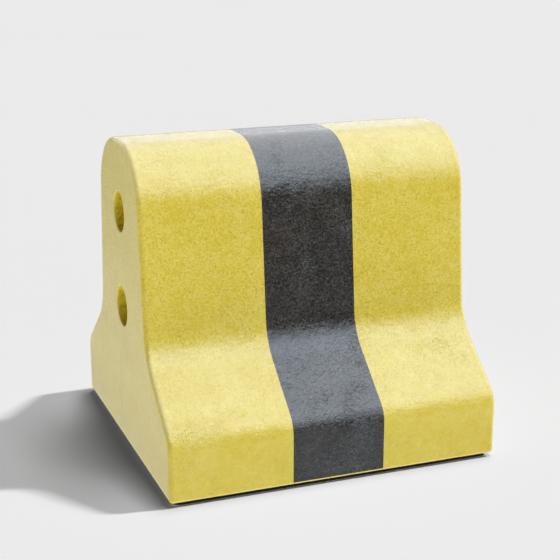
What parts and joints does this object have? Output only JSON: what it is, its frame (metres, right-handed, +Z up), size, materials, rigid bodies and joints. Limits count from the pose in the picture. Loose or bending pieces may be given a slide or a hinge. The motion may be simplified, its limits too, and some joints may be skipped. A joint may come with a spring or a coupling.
{
  "type": "jersey barrier block",
  "caption": "Short jersey-profile block of reinforced concrete, painted yellow with a black stripe across it, with round pipe holes along its length and a thin rubber base pad.",
  "frame": {"origin": "middle of the base pad's underside, where the block stands", "axes": "+X along the block's length and the pipe holes, +Y across it towards its rear face, +Z up"},
  "size_m": [0.54, 0.515, 0.506],
  "materials": {
    "concrete": "cast concrete, steel-trowelled underside with small air holes",
    "yellow_paint": "thick glossy traffic paint with a fine wrinkled orange-peel surface",
    "black_paint": "thick glossy black traffic paint with the same fine wrinkles",
    "pad_rubber": "moulded granulated rubber",
    "sleeve_plastic": "plastic pipe, sprayed with the yellow paint from its mouth",
    "reinforcing_steel": "hot-rolled reinforcing steel with mill scale and light rust",
    "binding_wire": "black annealed wire",
    "cover_mortar": "cast cement mortar",
    "spacer_plastic": "plain moulded plastic"
  },
  "bodies": {
    "root": {"concrete_body": "concrete", "yellow_coat": "yellow_paint", "black_stripe": "black_paint", "base_pad": "pad_rubber", "upper_pipe_sleeve": "sleeve_plastic", "lower_pipe_sleeve": "sleeve_plastic", "upper_sleeve_saddles": "reinforcing_steel", "lower_sleeve_saddles": "reinforcing_steel", "stem_hoop_1": "reinforcing_steel", "stem_hoop_2": "reinforcing_steel", "stem_hoop_3": "reinforcing_steel", "stem_hoop_4": "reinforcing_steel", "base_tie_1": "reinforcing_steel", "base_tie_2": "reinforcing_steel", "base_tie_3": "reinforcing_steel", "base_tie_4": "reinforcing_steel", "front_crown_bar": "reinforcing_steel", "rear_crown_bar": "reinforcing_steel", "front_upper_stem_bar": "reinforcing_steel", "rear_upper_stem_bar": "reinforcing_steel", "front_lower_stem_bar": "reinforcing_steel", "rear_lower_stem_bar": "reinforcing_steel", "front_toe_bar": "reinforcing_steel", "rear_toe_bar": "reinforcing_steel", "front_base_bar": "reinforcing_steel", "rear_base_bar": "reinforcing_steel", "middle_base_bar": "reinforcing_steel", "binding_wires": "binding_wire", "cover_blocks": "cover_mortar", "side_spacers": "spacer_plastic"}
  },
  "joints": []
}
